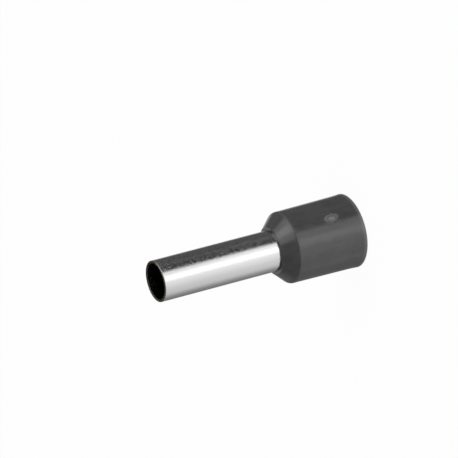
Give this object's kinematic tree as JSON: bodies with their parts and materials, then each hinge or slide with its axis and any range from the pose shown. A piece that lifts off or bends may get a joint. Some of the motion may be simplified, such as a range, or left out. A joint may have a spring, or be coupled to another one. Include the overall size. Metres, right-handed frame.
{
  "type": "wire ferrule",
  "caption": "Insulated wire ferrule for 4 square millimetre stranded wire: a thin tinned tube with a flared rear end inside a grey moulded plastic collar with a wide wire mouth.",
  "frame": {"origin": "centre of the collar's rim, on the surface that the ferrule stands on", "axes": "+Z along the axis, from the wire mouth to the tube's tip; +X through the gate mark on the collar"},
  "size_m": [0.0058, 0.0058, 0.0168],
  "materials": {
    "tinned_copper": "bright tin plate over drawn copper",
    "grey_plastic": "moulded, satin, dark grey"
  },
  "bodies": {
    "root": {"metal_tube": "tinned_copper", "plastic_collar": "grey_plastic"}
  },
  "joints": []
}
